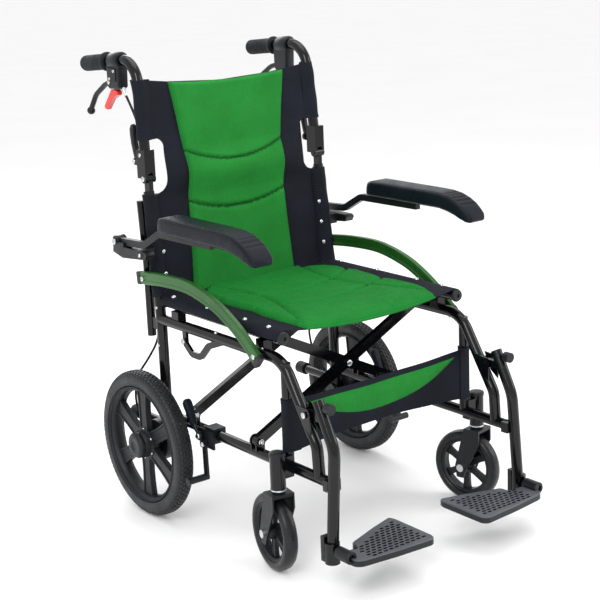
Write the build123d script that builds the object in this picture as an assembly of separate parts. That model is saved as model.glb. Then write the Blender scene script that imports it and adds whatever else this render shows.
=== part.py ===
from build123d import *
import math
import os

# Folding transport wheelchair. Millimetres, +Z up, occupant faces -Y, +X is the occupant's left.
# Heights are from the floor and lengths from the rear axle; the finished model is then shifted
# along Y so that the origin is the middle of the base.

# ---- driving dimensions ----------------------------------------------------------------------
FRAME_X = 223.0            # mid-plane to a side frame's tube centres
TUBE_R = 11.0              # main frame tube
LOWER_R = 10.5             # lower rail tube
AXLE_Z = 152.5             # rear wheel radius, axle height
CASTER_R = 75.0
WHEEL_X = FRAME_X + 54.0   # rear wheel centre plane
LOWER_Z = 203.0            # lower rail height
UPPER_Z = 405.0            # upper rail height
SEAT_Z = UPPER_Z + 38.0    # seat rail centre height
SEAT_RAIL_X = FRAME_X - 6.0
SEAT_FRONT = -400.0        # seat rail front end
SEAT_REAR = -14.0          # seat rail rear end
BACK_TOP = 880.0           # top of the back sling
POST_KNEE_Z = 391.0        # height where the rear post starts to lean
LEAN_Y = 0.0988            # rearward lean of the post per mm of height
LEAN_X = -0.0226           # inward lean of the post per mm of height
HINGE_Z = 690.0            # backrest fold axis
HEAD_X = FRAME_X + 31.0    # caster head tube axis
HEAD_Y = -419.0
HANDLE_TOP_Z = 925.0       # where the post's and the handle's lines meet
HANDLE_END_Y = 252.0       # end of the push grip
HANDLE_DROP = 0.087        # fall of the handle per mm rearward
FOOT_FRONT = -637.0        # front edge of the footplate
FOOT_TOP_Z = 84.0

# ---- clearances --------------------------------------------------------------------------------
RUN = 0.05                 # radial play of a pin or shaft in its hole
GAP = 0.5                  # play beside a moving part
SOFT_GAP = 0.6             # soft piece to its neighbour

# ---- small sizes -------------------------------------------------------------------------------
PIN_R = 4.0
AXLE_R = 6.0
THIN_R = 9.5               # inner post and tip lever
REAR_TUBE_R = 9.0
PLATE = 3.0                # stamped plates
LEG_H = 20.0               # scissor leg, across
LEG_W = 12.0               # scissor leg, along Y
LEG_GAP = 1.0              # between crossing legs
CROSS_Y = (-97.0, -316.0)  # front leg of each crossing pair
CROSS_PIVOT_Z = LOWER_Z + 22.5
GRIP_R = 16.5
GRIP_LEN = 92.0
TYRE_W = 37.0
TYRE_H = 31.0
CASTER_W = 28.0
CASTER_TYRE_H = 18.0
CASTER_TRAIL = 24.0
CASTER_YAW = {"right": 10.0, "left": 12.0}
HEAD_R = 14.5
HEAD_LOW = 2 * CASTER_R + 18.0
HEAD_HIGH = HEAD_LOW + 67.0
STEM_R = 6.0

FRONT_KNEE_Y = -408.0      # upper rail's corner
FRONT_LOW = (-500.0, 262.0)
FRONT_FOOT_Y = -504.0
FRONT_BEND_R = 62.0
POST_FOOT_Z = 138.0
INNER_POST_Y = -415.0
HANGER_PIVOT = (-486.0, 322.0)
HANGER_TOP = (-506.0, 350.0)
HANGER_KNEE = (-549.0, 268.0)
HANGER_FOOT = (FRAME_X + 15.0, -552.0, 62.0)
FOOT_AXIS_X = HANGER_FOOT[0]
FOOT_AXIS_Z = FOOT_TOP_Z + 2.0
FOOT_PIN_Y = (-569.0, -606.0)
FOOT_THICK = 14.0
FOOT_INNER_X = 60.0        # mid-plane to the footplate's inner edge
BARREL_R = 12.0
ARM_PIVOT = (86.0, 561.0)
ARM_X = FRAME_X + 34.0
ARM_BAR_W = 12.0
PAD_X = (ARM_X - 21.0, ARM_X + 32.0)
GUARD_X = (FRAME_X + 16.0, FRAME_X + 27.0)
DRUM_X = (WHEEL_X - 40.5, WHEEL_X - 22.0)
DRUM_R = 43.0
HUB_R = 27.0
HUB_CAP_X = WHEEL_X + 32.0
TIP_Z = LOWER_Z - 25.0
TIP_END = 118.0
HINGE_DROP = 26.0          # fold axis above the lower post's top
SADDLE_Y = (-58.0, -345.0)
CABLE_R = 2.5
KNOB_R = 10.0
SHOE_FOOT_Z = 116.0        # parking brake foot

# ---- pivots in the side plane, as (y, z) ----------------------------------------------------------
BRAKE_PIVOT = (142.0, HANDLE_TOP_Z - 50.0)     # hand brake lever
LATCH_PIVOT = (128.0, HANDLE_TOP_Z - 68.0)     # parking latch of the hand brake
RELEASE_PIVOT = (60.0, HINGE_Z + 32.0)         # backrest release lever
PARK_PIVOT = (-150.0, LOWER_Z - 5.0)           # parking brake handle
SHOE_PIVOT = (-163.0, LOWER_Z - 19.0)          # parking brake shoe
PARK_X = FRAME_X + 22.0


def post_y(z):
    """Rearward place of the post's centre line at a height."""
    return max(0.0, z - POST_KNEE_Z) * LEAN_Y


def post_x(z):
    """Sideways place of the post's centre line at a height."""
    return FRAME_X + max(0.0, z - POST_KNEE_Z) * LEAN_X


def back_y(z):
    """Front surface of the back sling at a height."""
    return 4.0 + (z - 455.0) * 0.0738


def tube(points, radius, bends=None):
    """Round bar along straight runs with rounded corners."""
    if bends:
        path = FilletPolyline(*points, radius=bends)
    else:
        path = Polyline(*points)
    start = Plane(origin=path @ 0, z_dir=path % 0)
    return sweep(start * Circle(radius), path=path)


def bar(a, b, radius):
    """Round bar between two points."""
    a, b = Vector(*a), Vector(*b)
    return extrude(Plane(origin=a, z_dir=b - a) * Circle(radius), (b - a).length)


def block(x, y, z):
    """Box from pairs of low and high coordinates."""
    size = (abs(x[1] - x[0]), abs(y[1] - y[0]), abs(z[1] - z[0]))
    place = ((x[0] + x[1]) / 2, (y[0] + y[1]) / 2, (z[0] + z[1]) / 2)
    return Pos(*place) * Box(*size)


def side_plate(outline, x_low, x_high):
    """Flat plate in the side plane from an outline of (y, z) points."""
    face = make_face(Polyline(*[(0, y, z) for y, z in outline], close=True))
    return Pos(x_low, 0, 0) * extrude(face, x_high - x_low, dir=(1, 0, 0))


def ring_x(x_low, x_high, outer, inner, y, z):
    """Ring about a sideways axis."""
    solid = bar((x_low, y, z), (x_high, y, z), outer)
    if inner:
        solid -= bar((x_low - 1, y, z), (x_high + 1, y, z), inner)
    return solid


# ---- side frame -------------------------------------------------------------------------------
HANDLE_X = post_x(HANDLE_TOP_Z - 45.0)
hinge_low = (post_x(HINGE_Z), post_y(HINGE_Z) - 4.0, HINGE_Z)   # fold axis, near the sling's plane


def hinge_pin(half, radius):
    """Round bar on the backrest fold axis."""
    x, y, z = hinge_low
    return bar((x - half, y, z), (x + half, y, z), radius)


def rear_post():
    """Upright tube with its rearward lean and the hinge tongue on top."""
    top_z = HINGE_Z - HINGE_DROP
    points = [(FRAME_X, 0, POST_FOOT_Z), (FRAME_X, 0, POST_KNEE_Z), (post_x(top_z), post_y(top_z), top_z)]
    post = tube(points, TUBE_R, [120.0])
    x, y, z = hinge_low
    tongue = block((x - 5, x + 5), (y - 8, y + 9), (top_z - 14, z))
    return post + tongue + ring_x(x - 5, x + 5, 9.0, None, y, z) - hinge_pin(20, PIN_R + RUN)


def cross_bracket(y_leg):
    """Pair of ears on the lower rail that carry a scissor leg on a bolt."""
    reach = LEG_W / 2 + GAP + PLATE + 2.5
    bracket = bar((FRAME_X, y_leg - reach, CROSS_PIVOT_Z), (FRAME_X, y_leg + reach, CROSS_PIVOT_Z), PIN_R)
    for side in (-1, 1):
        near = y_leg + side * (LEG_W / 2 + GAP)
        far = near + side * PLATE
        bracket += block((FRAME_X - 10, FRAME_X + 10), (near, far), (LOWER_Z, CROSS_PIVOT_Z))
        bracket += bar((FRAME_X, near, CROSS_PIVOT_Z), (FRAME_X, far, CROSS_PIVOT_Z), 12.0)
    return bracket


def saddle(y):
    """Cradle on the upper rail that the seat rail rests in."""
    top = SEAT_Z - TUBE_R - GAP
    return block((FRAME_X - 14, FRAME_X + 5), (y - 12, y + 12), (UPPER_Z + 4, top))


def hanger_plates():
    """Pair of plates on the front tube that hold the hanger's pivot bolt."""
    py, pz = HANGER_PIVOT
    outline = [(py + 24, pz + 14), (py - 8, pz + 12), (py - 13, pz + 3), (py - 13, pz - 14),
               (py - 12, pz - 34), (py + 7, pz - 20)]
    half = TUBE_R + GAP
    reach = half + PLATE + 3.0
    plates = bar((FRAME_X - reach, py, pz), (FRAME_X + reach, py, pz), PIN_R)
    plates += block((FRAME_X - half - 1, FRAME_X + half + 1), (py + 14, py + 22), (pz - 6, pz + 6))
    for near in (FRAME_X - half - PLATE, FRAME_X + half):
        plates += side_plate(outline, near, near + PLATE)
    return plates


def caster_head():
    """Upright bearing tube outboard of the rails, with its welded gusset."""
    head = bar((HEAD_X, HEAD_Y, HEAD_LOW), (HEAD_X, HEAD_Y, HEAD_HIGH), HEAD_R)
    gusset = block((FRAME_X, HEAD_X - 4), (HEAD_Y - 9, HEAD_Y + 9), (HEAD_LOW + 18, HEAD_HIGH - 8))
    bore = bar((HEAD_X, HEAD_Y, HEAD_LOW - 1), (HEAD_X, HEAD_Y, HEAD_HIGH - 7), STEM_R + RUN)
    return head + gusset - bore


def lower_rail():
    """Straight tube from the rear post to the cup that steadies the hanger."""
    hanger_rear = HANGER_FOOT[1] + TUBE_R
    cup_front = hanger_rear - 7.0
    rail = bar((FRAME_X, 0, LOWER_Z), (FRAME_X, hanger_rear + 6, LOWER_Z), LOWER_R)
    cup = block((FRAME_X - 13, FRAME_X + 15), (cup_front, hanger_rear + 10), (LOWER_Z - 12, LOWER_Z + 9))
    return rail + cup - hanger_tube(TUBE_R + GAP)


def hanger_tube(radius):
    """Footrest hanger's bent tube."""
    points = [(FRAME_X, *HANGER_TOP), (FRAME_X, *HANGER_KNEE), HANGER_FOOT]
    return tube(points, radius, [70.0])


def rail_hook():
    """Curved hook under the upper rail that keeps the seat rail from rattling."""
    top = UPPER_Z
    path = FilletPolyline((0, -97, top - 4), (0, -97, top - 31), (0, -118, top - 48), (0, -150, top - 48),
                          (0, -178, top - 20), (0, -232, top), radius=[9.0, 14.0, 18.0, 25.0])
    start = Plane(origin=path @ 0, x_dir=(1, 0, 0), z_dir=path % 0)
    strap = sweep(start * Rectangle(6.0, 13.0), path=path)
    hook = Pos(FRAME_X + 7.0, 0, 0) * strap
    return hook + ring_x(FRAME_X + 5, FRAME_X + 13, 5.0, None, -97, top - 25)


def side_frame(side):
    """One welded side frame."""
    front = [(FRAME_X, 0, UPPER_Z), (FRAME_X, FRONT_KNEE_Y, UPPER_Z), (FRAME_X, *FRONT_LOW),
             (FRAME_X, FRONT_FOOT_Y, LOWER_Z)]
    frame = rear_post() + tube(front, TUBE_R, [FRONT_BEND_R, 40.0]) + lower_rail()
    frame += bar((FRAME_X, INNER_POST_Y, LOWER_Z), (FRAME_X, INNER_POST_Y, UPPER_Z - 4), THIN_R)
    frame += caster_head() + hanger_plates()
    frame += ring_x(FRAME_X - 15, DRUM_X[0], 17.0, None, 0, AXLE_Z)
    frame += ring_x(FRAME_X, HUB_CAP_X - 12, AXLE_R, None, 0, AXLE_Z)
    frame += bar((FRAME_X, 0, TIP_Z), (FRAME_X, TIP_END, TIP_Z), THIN_R)
    frame += rail_hook()
    for y in SADDLE_Y:
        frame += saddle(y)
    for y_leg in cross_leg_places(side):
        frame += cross_bracket(y_leg)
    rear = [(FRAME_X, 41, 363), (FRAME_X, 41, 520), (FRAME_X, 50, HINGE_Z - 47)]
    frame += tube(rear, REAR_TUBE_R, [400.0])
    for z in (392.0, 500.0):
        frame += block((FRAME_X - 4, FRAME_X + 3), (post_y(z), 38), (z - 12, z + 12))
    return frame


def cross_leg_places(foot_side):
    """Places along Y of the two legs whose feet are on the given side's lower rail."""
    shift = 0.0 if foot_side == "right" else LEG_W + LEG_GAP
    return [y + shift for y in CROSS_Y]


# ---- cross members -----------------------------------------------------------------------------
def cross_member(foot_side):
    """Seat rail on one side with two legs down to the other side's lower rail."""
    foot_x = -FRAME_X if foot_side == "right" else FRAME_X
    rail_x = SEAT_RAIL_X if foot_side == "right" else -SEAT_RAIL_X
    rail = bar((rail_x, SEAT_FRONT, SEAT_Z), (rail_x, SEAT_REAR, SEAT_Z), TUBE_R)
    middle_z = (CROSS_PIVOT_Z + SEAT_Z - 2.0) / 2
    member = rail
    for y in cross_leg_places(foot_side):
        foot = Vector(foot_x, y, CROSS_PIVOT_Z)
        head = Vector(rail_x, y, SEAT_Z - 2.0)
        run = head - foot
        middle = Plane(origin=(foot + head) * 0.5, x_dir=run, z_dir=(0, 1, 0))
        leg = middle * Box(run.length, LEG_H, LEG_W)
        leg += bar(foot - Vector(0, LEG_W / 2, 0), foot + Vector(0, LEG_W / 2, 0), LEG_H / 2)
        leg -= bar(foot - Vector(0, LEG_W, 0), foot + Vector(0, LEG_W, 0), PIN_R + RUN)
        if foot_side == "right":
            head_y = y - LEG_W / 2 - 3.0
            leg += bar((0, head_y, middle_z), (0, y + LEG_W * 1.5 + LEG_GAP + 3.0, middle_z), PIN_R)
            leg += bar((0, head_y, middle_z), (0, y - LEG_W / 2, middle_z), 7.0)
        else:
            leg -= bar((0, y - LEG_W, middle_z), (0, y + LEG_W, middle_z), PIN_R + RUN)
        member += leg
    return member


# ---- backrest ----------------------------------------------------------------------------------
def handle_point(y):
    """A point on the handle's centre line."""
    return (HANDLE_X, y, HANDLE_TOP_Z - HANDLE_DROP * (y - post_y(HANDLE_TOP_Z)))


def back_tube(radius):
    """Backrest tube, bent rearward into the push handle."""
    low_z = HINGE_Z + 16.0
    corner = (HANDLE_X, post_y(HANDLE_TOP_Z), HANDLE_TOP_Z)
    foot = (post_x(low_z), post_y(low_z), low_z)
    return tube([foot, corner, handle_point(HANDLE_END_Y - 6)], radius, [52.0])


def back_post():
    """Upper backrest tube with the hinge cheeks and the release lever's ears below."""
    x, y, z = hinge_low
    post = back_tube(TUBE_R)
    cheeks = block((x - 12, x + 12), (y - 8, post_y(HINGE_Z + 30) + 15), (z, z + 58))
    cheeks += ring_x(x - 12, x + 12, 9.0, None, y, z)
    slot = block((x - 5 - GAP, x + 5 + GAP), (y - 30, y + 40), (z - 30, z + 12))
    return post + cheeks - slot + hinge_pin(12.8, PIN_R) + release_ears()


def push_grip():
    """Rubber grip over the end of the handle."""
    start, end = handle_point(HANDLE_END_Y - GRIP_LEN), handle_point(HANDLE_END_Y)
    grip = bar(start, end, GRIP_R)
    grip += bar(start, handle_point(HANDLE_END_Y - GRIP_LEN + 7), GRIP_R + 3.0)
    bore = bar(handle_point(HANDLE_END_Y - GRIP_LEN - 5), handle_point(HANDLE_END_Y - 5.0), TUBE_R + 0.02)
    return grip - bore


def brake_housing():
    """Moulded housing clamped round the handle, hanging below it."""
    x, top = HANDLE_X, HANDLE_TOP_Z
    outline = [(98, top - 27), (104, top + 5), (118, top + 13), (142, top + 9), (150, top - 3),
               (152, top - 53), (146, top - 63), (102, top - 63)]
    body = side_plate(outline, x - 14, x + 14)
    slot = block((x - 7, x + 7), (128, 160), (top - 70, top - 41))
    return body - back_tube(TUBE_R + 0.02) - slot + brake_pin(17) + latch_ears()


def brake_pin(half):
    """Pivot of the hand brake lever."""
    x = HANDLE_X
    return bar((x - half, *BRAKE_PIVOT), (x + half, *BRAKE_PIVOT), 3.0)


def hand_brake_lever():
    """Curved squeeze lever with a ball tip."""
    x = HANDLE_X
    py, pz = BRAKE_PIVOT
    points = [(x, py, pz), (x, py + 34, pz - 6), (x, py + 76, pz - 30), (x, py + 102, pz - 63)]
    lever = tube(points, 5.5, [50.0, 50.0]) + Pos(x, py + 102, pz - 65) * Sphere(8.5)
    lever += ring_x(x - 6.3, x + 6.3, 7.5, None, py, pz)
    return lever - ring_x(x - 20, x + 20, 3.0 + RUN, None, py, pz)


def brake_latch():
    """Small parking latch under the housing."""
    x = HANDLE_X
    py, pz = LATCH_PIVOT
    outline = [(py - 6, pz + 0.5), (py, pz + 4), (py + 18, pz + 4), (py + 28, pz - 6), (py + 50, pz - 33),
               (py + 41, pz - 40), (py + 16, pz - 15), (py - 6, pz - 7)]
    return side_plate(outline, x - 6.3, x + 6.3) - ring_x(x - 20, x + 20, 3.0 + RUN, None, py, pz)


def latch_ears():
    """Ears of the housing and the pin that carry the latch."""
    x = HANDLE_X
    py, pz = LATCH_PIVOT
    ears = ring_x(x - 11, x + 11, 3.0, None, py, pz)
    for near in (x - 7 - PLATE, x + 7):
        ears += block((near, near + PLATE), (py - 6, py + 6), (pz, pz + 7))
        ears += ring_x(near, near + PLATE, 6.0, None, py, pz)
    return ears


def back_release():
    """Lever behind the hinge that frees the backrest."""
    x = hinge_low[0]
    py, pz = RELEASE_PIVOT
    points = [(x, py, pz), (x, py + 9, pz + 34), (x, py + 12, pz + 66)]
    lever = tube(points, 6.0, [60.0]) + Pos(x, py + 12, pz + 66) * Sphere(7.5)
    lever += ring_x(x - 5.5, x + 5.5, 8.0, None, py, pz)
    return lever - ring_x(x - 20, x + 20, 3.0 + RUN, None, py, pz)


def release_ears():
    """Ears on the hinge block that carry the release lever."""
    x = hinge_low[0]
    py, pz = RELEASE_PIVOT
    ears = ring_x(x - 10, x + 10, 3.0, None, py, pz)
    for near in (x - 6 - PLATE, x + 6):
        ears += block((near, near + PLATE), (40, py), (pz - 7, pz + 7))
        ears += ring_x(near, near + PLATE, 7.0, None, py, pz)
    return ears


CABLE_ROUTE = [(FRAME_X - 11, 107, HANDLE_TOP_Z - 65), (FRAME_X - 14, 88, HANDLE_TOP_Z - 93),
               (FRAME_X - 20, 72, HANDLE_TOP_Z - 135), (FRAME_X - 23, 66, 735), (FRAME_X - 24, 58, 680),
               (FRAME_X - 24, 54, 625), (FRAME_X - 22, 46, 570), (FRAME_X - 21, 41, 515),
               (FRAME_X - 20, 38, 460), (FRAME_X - 18, 36, 405), (FRAME_X - 17, 44, 350),
               (FRAME_X - 8, 74, 304), (FRAME_X + 8, 102, 262), (FRAME_X + 18, 98, 212),
               (FRAME_X + 23, 66, 177), (FRAME_X + 23, 43.6, 166)]


def brake_cable():
    """Bowden cable from the housing down the post and out to the drum."""
    points = [Vector(*p) for p in CABLE_ROUTE]
    radii = []
    for before, here, after in zip(points, points[1:], points[2:]):
        turn = math.radians((here - before).get_angle(after - here))
        radii.append(0.45 * min((here - before).length, (after - here).length) / math.tan(turn / 2))
    print("brake cable radii", [round(r, 1) for r in radii])
    cable = tube(points, CABLE_R, radii)
    print("brake cable length", round(cable.volume / (math.pi * CABLE_R ** 2), 1))
    return cable


# ---- rear wheel --------------------------------------------------------------------------------
def rounded_tyre(x, y, radius, width, height, axle_z):
    """Solid tyre with a rounded tread, revolved about its axle."""
    inner = radius - height
    half = width / 2
    shoulder = radius - height * 0.42
    outline = Polyline((x - half + 4, inner), (x - half, inner + 6), (x - half, shoulder))
    crown = ThreePointArc((x - half, shoulder), (x, radius), (x + half, shoulder))
    close = Polyline((x + half, shoulder), (x + half, inner + 6), (x + half - 4, inner),
                     (x - half + 4, inner))
    face = make_face(outline + crown + close)
    return Pos(0, y, axle_z) * revolve(face, Axis.X)


def spoked_wheel(x, y, axle_z, rim_r, rim_t, width, hub_r, hub_half, bore_r, spokes, spoke_w):
    """Moulded wheel with wide spokes between its hub and rim."""
    low, high = x - width / 2, x + width / 2
    wheel = ring_x(low, high, rim_r, rim_r - rim_t, y, axle_z)
    wheel += ring_x(x - hub_half, x + hub_half, hub_r, None, y, axle_z)
    for n in range(spokes):
        arm = block((x - 7, x + 7), (-spoke_w / 2, spoke_w / 2), (hub_r - 4, rim_r - rim_t + 2))
        wheel += Pos(0, y, axle_z) * (Rot(360.0 * n / spokes, 0, 0) * arm)
    return wheel - ring_x(x - 60, x + 60, bore_r, None, y, axle_z)


def rear_tyre():
    """Rear tyre."""
    return rounded_tyre(WHEEL_X, 0, AXLE_Z, TYRE_W, TYRE_H, AXLE_Z)


def rear_wheel():
    """Rear wheel moulding."""
    return spoked_wheel(WHEEL_X, 0, AXLE_Z, AXLE_Z - TYRE_H, 12.0, 28.0, HUB_R, 19.0, AXLE_R + RUN, 6, 26.0)


def hub_cap():
    """Round cap over the axle's end."""
    cap = ring_x(WHEEL_X + 19, HUB_CAP_X, HUB_R, None, 0, AXLE_Z)
    return cap - ring_x(WHEEL_X + 18, HUB_CAP_X - 10, AXLE_R + 2, None, 0, AXLE_Z)


def brake_drum():
    """Drum brake plate inboard of the hub, with the cable's anchor arm."""
    end = Vector(*CABLE_ROUTE[-1])
    run = (Vector(*CABLE_ROUTE[-2]) - end).normalized()
    anchor = bar(end - run * 8.0, end, CABLE_R + 1.5) + ring_x(*DRUM_X, DRUM_R, None, 0, AXLE_Z)
    return anchor - ring_x(DRUM_X[0] - 1, DRUM_X[1] + 1, AXLE_R + GAP, None, 0, AXLE_Z)


# ---- caster ------------------------------------------------------------------------------------
def caster_turn(shape, side):
    """Swivels a caster piece to its parked angle."""
    angle = CASTER_YAW[side]
    return Pos(HEAD_X, HEAD_Y, 0) * (Rot(0, 0, angle) * (Pos(-HEAD_X, -HEAD_Y, 0) * shape))


def caster_fork():
    """Stamped fork with its stem."""
    y, z = HEAD_Y + CASTER_TRAIL, CASTER_R
    half = CASTER_W / 2 + 6.0
    crown_low = 2 * CASTER_R + 5.0
    reach = half + PLATE
    fork = block((HEAD_X - reach, HEAD_X + reach), (HEAD_Y - 19, HEAD_Y + 17), (crown_low, crown_low + 6))
    outline = [(HEAD_Y - 19, crown_low + 6), (HEAD_Y + 17, crown_low + 6), (y + 15, z + 2), (y + 11, z - 22),
               (y - 5, z - 22), (y - 14, z), (HEAD_Y - 19, crown_low - 24)]
    for near in (HEAD_X - half - PLATE, HEAD_X + half):
        fork += side_plate(outline, near, near + PLATE)
    fork -= ring_x(HEAD_X - 40, HEAD_X + 40, PIN_R + RUN, None, y, z)
    fork += bar((HEAD_X, HEAD_Y, crown_low + 3), (HEAD_X, HEAD_Y, HEAD_LOW - GAP), HEAD_R - 2)
    return fork + bar((HEAD_X, HEAD_Y, crown_low + 3), (HEAD_X, HEAD_Y, HEAD_HIGH - 8), STEM_R)


def caster_axle():
    """Bolt through the fork and the caster."""
    y, half = HEAD_Y + CASTER_TRAIL, CASTER_W / 2 + 6.0 + PLATE
    bolt = ring_x(HEAD_X - half - 4, HEAD_X + half + 4, PIN_R, None, y, CASTER_R)
    for near in (HEAD_X - half - 5, HEAD_X + half):
        bolt += ring_x(near, near + 5, 8.0, None, y, CASTER_R)
    return bolt


def caster_wheel():
    """Caster wheel moulding."""
    y, rim_r = HEAD_Y + CASTER_TRAIL, CASTER_R - CASTER_TYRE_H
    return spoked_wheel(HEAD_X, y, CASTER_R, rim_r, 7.0, 20.0, 13.0, 18.0, PIN_R + RUN, 6, 13.0)


def caster_tyre():
    """Caster tyre."""
    return rounded_tyre(HEAD_X, HEAD_Y + CASTER_TRAIL, CASTER_R, CASTER_W, CASTER_TYRE_H, CASTER_R)


# ---- guard and armrest -------------------------------------------------------------------------
def side_guard():
    """Arched flat bar beside the seat, on two stand-off bolts."""
    x = (GUARD_X[0] + GUARD_X[1]) / 2
    points = [(x, 36, 489), (x, -102, 503.5), (x, -252, 481), (x, -368, 398)]
    path = FilletPolyline(*points, radius=[430.0, 300.0])
    start = Plane(origin=path @ 0, x_dir=(1, 0, 0), z_dir=path % 0)
    guard = sweep(start * Rectangle(GUARD_X[1] - GUARD_X[0], 25.0), path=path)
    guard += ring_x(FRAME_X + TUBE_R - 2.2, GUARD_X[1] + 3, 5.0, None, 18, 490.5)
    return guard + ring_x(FRAME_X + TUBE_R + 0.3, GUARD_X[1] + 3, 5.0, None, -356, 410)


def arm_bracket():
    """Moulded bracket that the armrest bar turns in."""
    outline = [(98, 545), (98, 538), (62, 530), (-24, 538), (-30, 548), (-24, 553), (58, 553), (70, 545)]
    inner, outer = ARM_X - ARM_BAR_W / 2 - GAP - 4.0, ARM_X + ARM_BAR_W / 2 + GAP + 4.0
    body = side_plate(outline, inner, outer)
    foot = block((FRAME_X, inner), (4, 34), (532, 553))
    grown = tube([(FRAME_X, 0, POST_FOOT_Z), (FRAME_X, 0, POST_KNEE_Z),
                  (post_x(680.0), post_y(680.0), 680.0)], TUBE_R + 0.05, [120.0])
    body += foot - grown - bar((FRAME_X, 41, 500), (FRAME_X, 44, 560), REAR_TUBE_R + 1.0)
    py, pz = ARM_PIVOT
    for near in (inner, outer - 4.0):
        body += ring_x(near, near + 4.0, 12.0, None, py, pz)
        body += block((near, near + 4.0), (py - 30, py + 11), (540, pz))
    return body + ring_x(inner - 3, outer + 3, PIN_R, None, py, pz)


def arm_bar():
    """Flat bar from the pivot up to the pad."""
    py, pz = ARM_PIVOT
    points = [(ARM_X, py, pz), (ARM_X, -14, 566), (ARM_X, -72, 597), (ARM_X, -250, 599)]
    path = FilletPolyline(*points, radius=[25.0, 25.0])
    start = Plane(origin=path @ 0, x_dir=(1, 0, 0), z_dir=path % 0)
    arm = sweep(start * Rectangle(ARM_BAR_W, 14.0), path=path)
    half = ARM_BAR_W / 2
    arm += ring_x(ARM_X - half, ARM_X + half, 11.0, None, py, pz)
    return arm - ring_x(ARM_X - 30, ARM_X + 30, PIN_R + RUN, None, py, pz)


def arm_pad():
    """Long pad with a turned-down front grip."""
    outline = [(-104, 606.2), (-112, 634), (-140, 640), (-322, 640), (-362, 634), (-394, 619), (-418, 600),
               (-420, 590), (-408, 585), (-372, 598), (-330, 606.2)]
    return side_plate(outline, *PAD_X)


# ---- footrest ----------------------------------------------------------------------------------
def hanger():
    """Footrest hanger with its pivot lug and the footplate's clamp and pin."""
    py, pz = HANGER_PIVOT
    body = hanger_tube(TUBE_R)
    lug_half = 8.0
    body += block((FRAME_X - lug_half, FRAME_X + lug_half), (py - 34, py), (pz - 8, pz + 8))
    body += ring_x(FRAME_X - lug_half, FRAME_X + lug_half, 8.0, None, py, pz)
    body -= ring_x(FRAME_X - 30, FRAME_X + 30, PIN_R + RUN, None, py, pz)
    fx, fy, fz = HANGER_FOOT
    clamp = bar((fx, fy, fz - 2), (fx, fy, FOOT_AXIS_Z + 14), 14.0)
    heel = block((fx - 9, fx + 9), (fy + 12, fy + 22), (fz - 2, FOOT_AXIS_Z + 22))
    pin_rear, pin_front = FOOT_PIN_Y[0] + 5, FOOT_PIN_Y[1] + 3
    pin = bar((FOOT_AXIS_X, pin_rear, FOOT_AXIS_Z), (FOOT_AXIS_X, pin_front, FOOT_AXIS_Z), 5.0)
    return body + clamp + heel + pin - knob_bar(0, 40, 3.0 + RUN)


def knob_bar(start, end, radius):
    """Round bar along the release plunger's line, forward of the hanger's top."""
    y, z = HANGER_TOP[0] - 4, HANGER_TOP[1] - 8
    return bar((FRAME_X, y - start, z), (FRAME_X, y - end, z), radius)


def hanger_knob():
    """Pull knob with its plunger."""
    return knob_bar(1.0, 26, 3.0) + knob_bar(21.0, 35, KNOB_R)


def footplate():
    """Footplate with its hinge barrel and a tread of small holes."""
    low = FOOT_TOP_Z - FOOT_THICK
    x, z, inner = FOOT_AXIS_X, FOOT_AXIS_Z, FOOT_INNER_X
    rear, front = FOOT_PIN_Y
    step = rear - 0.8
    outline = [(x - 46, -548), (inner + 6, -506), (inner, -512), (inner, FOOT_FRONT + 9),
               (inner + 8, FOOT_FRONT), (x - 12, FOOT_FRONT + 15), (x - 1, FOOT_FRONT + 25),
               (x - 1, step), (x - 46, step)]
    plate = extrude(Plane.XY.offset(low) * make_face(Polyline(*outline, close=True)), FOOT_THICK)
    barrel = bar((x, rear - GAP, z), (x, front, z), BARREL_R)
    shoulder = block((x - BARREL_R, x - 1), (rear - GAP, front), (low, z))
    bore = bar((x, rear + 1, z), (x, front - 1, z), 5.0 + RUN)
    return plate + barrel + shoulder - bore


# ---- parking brake, tip lever, fasteners --------------------------------------------------------
def parking_handle():
    """Short hand lever with a moulded grip."""
    py, pz = PARK_PIVOT
    x = PARK_X
    points = [(x, py, pz), (x, py + 14, pz + 16), (x, py + 38, pz + 58)]
    lever = tube(points, 4.0, [12.0]) + bar((x, py + 18, pz + 23), (x, py + 37, pz + 56), 8.5)
    lever += Pos(x, py + 38, pz + 58) * Sphere(9.5)
    lever += ring_x(x - 4, x + 4, 9.0, None, py, pz)
    return lever - ring_x(x - 30, x + 30, PIN_R + RUN, None, py, pz)


def parking_clamp():
    """Clamp on the lower rail with the pivots of the handle and the shoe bar."""
    py, pz = PARK_PIVOT
    clamp = block((FRAME_X - 14, FRAME_X + 14), (py - 40, py - 8), (LOWER_Z - 15, LOWER_Z + 15))
    clamp -= bar((FRAME_X, py - 50, LOWER_Z), (FRAME_X, py + 5, LOWER_Z), LOWER_R + 0.05)
    arm = block((FRAME_X + 13, FRAME_X + 17), (py - 40, py + 9), (SHOE_PIVOT[1] - 8, LOWER_Z + 10))
    pins = ring_x(FRAME_X + 13, PARK_X + 8, PIN_R, None, py, pz)
    return clamp + arm + pins + ring_x(FRAME_X + 13, FRAME_X + 26, PIN_R, None, *SHOE_PIVOT)


def shoe_bar():
    """Swinging bar whose foot presses on the tyre."""
    py, pz = SHOE_PIVOT
    x = FRAME_X + 17.5
    drop = side_plate([(py - 6, pz + 6), (py + 6, pz + 6), (py + 4, SHOE_FOOT_Z - 4),
                       (py - 8, SHOE_FOOT_Z - 4)], x, x + 5)
    foot = bar((x, py - 2, SHOE_FOOT_Z), (WHEEL_X + 12, py - 2, SHOE_FOOT_Z), 7.0)
    return drop + foot + ring_x(x, x + 5, 8.0, None, py, pz) - ring_x(x - 9, x + 9, PIN_R + RUN, None, py, pz)


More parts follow.
